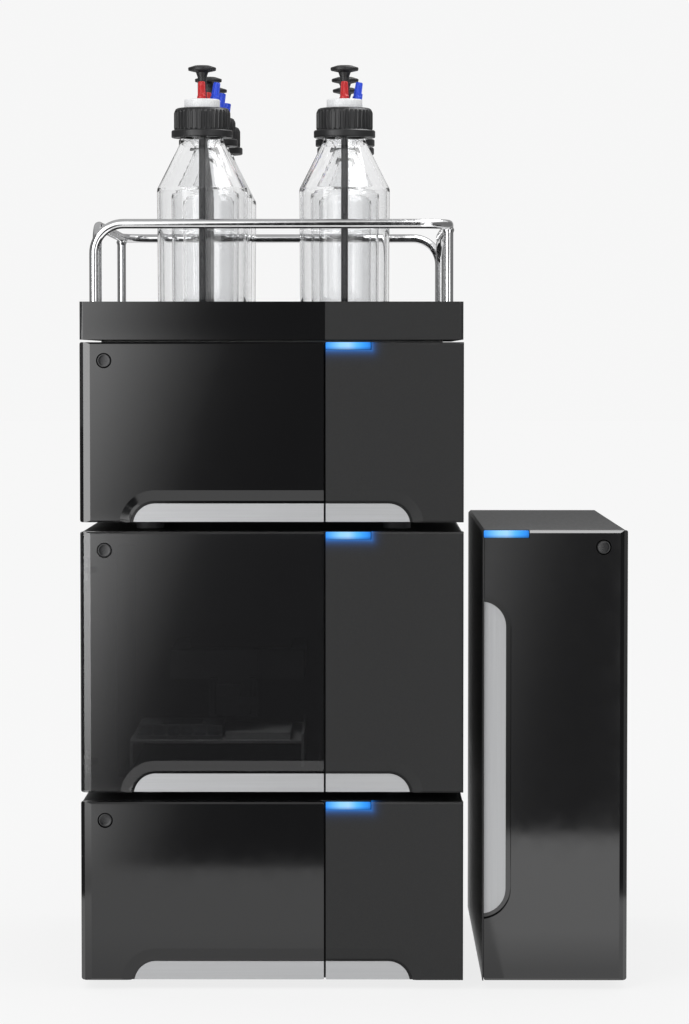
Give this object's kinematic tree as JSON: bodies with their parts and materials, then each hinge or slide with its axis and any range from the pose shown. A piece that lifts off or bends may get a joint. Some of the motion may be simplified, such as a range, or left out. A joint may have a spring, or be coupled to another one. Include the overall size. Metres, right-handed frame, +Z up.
{
  "type": "hplc system",
  "caption": "Liquid chromatography stack of pump, sampler and detector under a solvent tray with bottles, with a column oven beside it; hinged doors.",
  "frame": {"origin": "on the floor under the middle of the bounding box of the stack and the oven", "axes": "+Z up, -Y towards the doors, +X towards the column oven"},
  "size_m": [0.543, 0.452, 0.9225],
  "materials": {
    "housing": "satin",
    "liner": "matte",
    "panel": "satin",
    "door": "gloss",
    "smoked_door": "gloss",
    "trim": "satin",
    "button": "satin",
    "light": "gloss",
    "foot": "satin",
    "inlet": "matte",
    "supply": "satin",
    "pin": "satin",
    "tray": "satin",
    "rail": "polished",
    "glass": "clear",
    "cap": "satin",
    "insert": "satin",
    "valve": "matte",
    "red": "satin",
    "blue": "satin",
    "tube": "satin",
    "deck": "satin",
    "rack": "satin",
    "vial": "clear",
    "gantry": "satin",
    "carriage": "satin",
    "head": "satin",
    "steel": "satin",
    "knob": "satin",
    "cell": "satin"
  },
  "bodies": {
    "cabinets": {"pump_housing": "housing", "pump_liner": "liner", "pump_panel": "panel", "sampler_housing": "housing", "sampler_liner": "liner", "sampler_panel": "panel", "detector_housing": "housing", "detector_liner": "liner", "detector_panel": "panel", "oven_housing": "housing", "oven_liner": "liner", "status_lights": "light", "feet": "foot", "power_inlets": "inlet", "power_supplies": "supply", "hinge_pins": "pin", "panel_trims": "trim", "solvent_tray": "tray", "front_rail": "rail", "rear_rail": "rail", "bottle_1": "glass", "bottle_2": "glass", "bottle_3": "glass", "bottle_4": "glass", "bottle_5": "glass", "bottle_6": "glass", "cap_inserts": "insert", "vent_valves": "valve", "red_fittings": "red", "blue_fittings": "blue", "intake_tubes": "tube", "sample_deck": "deck", "vial_rack": "rack", "vials": "vial", "gantry_beam": "gantry", "pump_heads": "steel", "detector_cell": "cell", "column_block": "cell", "columns": "steel"},
    "pump_door": {"pump_door": "door", "pump_door_trim": "trim"},
    "pump_power_button": {"pump_power_button": "button"},
    "sampler_door": {"sampler_door": "smoked_door", "sampler_door_trim": "trim"},
    "sampler_power_button": {"sampler_power_button": "button"},
    "detector_door": {"detector_door": "door", "detector_door_trim": "trim"},
    "detector_power_button": {"detector_power_button": "button"},
    "oven_door": {"oven_door": "door", "oven_door_trim": "trim"},
    "oven_power_button": {"oven_power_button": "button"},
    "cap_1": {"cap_1": "cap"},
    "cap_2": {"cap_2": "cap"},
    "cap_3": {"cap_3": "cap"},
    "cap_4": {"cap_4": "cap"},
    "cap_5": {"cap_5": "cap"},
    "cap_6": {"cap_6": "cap"},
    "purge_knob": {"purge_knob": "knob"},
    "needle_carriage": {"needle_carriage": "carriage"},
    "needle_head": {"needle_head": "head"}
  },
  "joints": [
    {"name": "pump_door_hinge", "type": "hinge", "parent": "cabinets", "child": "pump_door", "pos_m": [-0.265, -0.218, 0.0985], "axis": [0, 0, 1], "range_deg": [-105, 0]},
    {"name": "pump_button_press", "type": "slide", "parent": "cabinets", "child": "pump_power_button", "axis": [0, 1, 0], "range_m": [0, 0.0015], "stiffness_N_per_m": 600},
    {"name": "sampler_door_hinge", "type": "hinge", "parent": "cabinets", "child": "sampler_door", "pos_m": [-0.265, -0.218, 0.3265], "axis": [0, 0, 1], "range_deg": [-105, 0]},
    {"name": "sampler_button_press", "type": "slide", "parent": "cabinets", "child": "sampler_power_button", "axis": [0, 1, 0], "range_m": [0, 0.0015], "stiffness_N_per_m": 600},
    {"name": "detector_door_hinge", "type": "hinge", "parent": "cabinets", "child": "detector_door", "pos_m": [-0.265, -0.218, 0.5545], "axis": [0, 0, 1], "range_deg": [-105, 0]},
    {"name": "detector_button_press", "type": "slide", "parent": "cabinets", "child": "detector_power_button", "axis": [0, 1, 0], "range_m": [0, 0.0015], "stiffness_N_per_m": 600},
    {"name": "oven_door_hinge", "type": "hinge", "parent": "cabinets", "child": "oven_door", "pos_m": [0.265, -0.218, 0.2335], "axis": [0, 0, 1], "range_deg": [0, 105]},
    {"name": "oven_button_press", "type": "slide", "parent": "cabinets", "child": "oven_power_button", "axis": [0, 1, 0], "range_m": [0, 0.0015], "stiffness_N_per_m": 600},
    {"name": "cap_1_turn", "type": "hinge", "parent": "cabinets", "child": "cap_1", "pos_m": [-0.15325, -0.1407, 0.8495], "axis": [0, 0, 1], "range_deg": [0, 360]},
    {"name": "cap_2_turn", "type": "hinge", "parent": "cabinets", "child": "cap_2", "pos_m": [-0.00975, -0.1407, 0.8495], "axis": [0, 0, 1], "range_deg": [0, 360]},
    {"name": "cap_3_turn", "type": "hinge", "parent": "cabinets", "child": "cap_3", "pos_m": [-0.15325, -0.0003, 0.8495], "axis": [0, 0, 1], "range_deg": [0, 360]},
    {"name": "cap_4_turn", "type": "hinge", "parent": "cabinets", "child": "cap_4", "pos_m": [-0.00975, -0.0003, 0.8495], "axis": [0, 0, 1], "range_deg": [0, 360]},
    {"name": "cap_5_turn", "type": "hinge", "parent": "cabinets", "child": "cap_5", "pos_m": [-0.15325, 0.1401, 0.8495], "axis": [0, 0, 1], "range_deg": [0, 360]},
    {"name": "cap_6_turn", "type": "hinge", "parent": "cabinets", "child": "cap_6", "pos_m": [-0.00975, 0.1401, 0.8495], "axis": [0, 0, 1], "range_deg": [0, 360]},
    {"name": "purge_knob_turn", "type": "hinge", "parent": "cabinets", "child": "purge_knob", "pos_m": [-0.1355, -0.066, 0.0475], "axis": [0, -1, 0], "range_deg": [0, 270]},
    {"name": "carriage_slide", "type": "slide", "parent": "cabinets", "child": "needle_carriage", "axis": [1, 0, 0], "range_m": [-0.04, 0.045]},
    {"name": "needle_lift", "type": "slide", "parent": "needle_carriage", "child": "needle_head", "axis": [0, 0, 1], "range_m": [0, 0.025]}
  ]
}
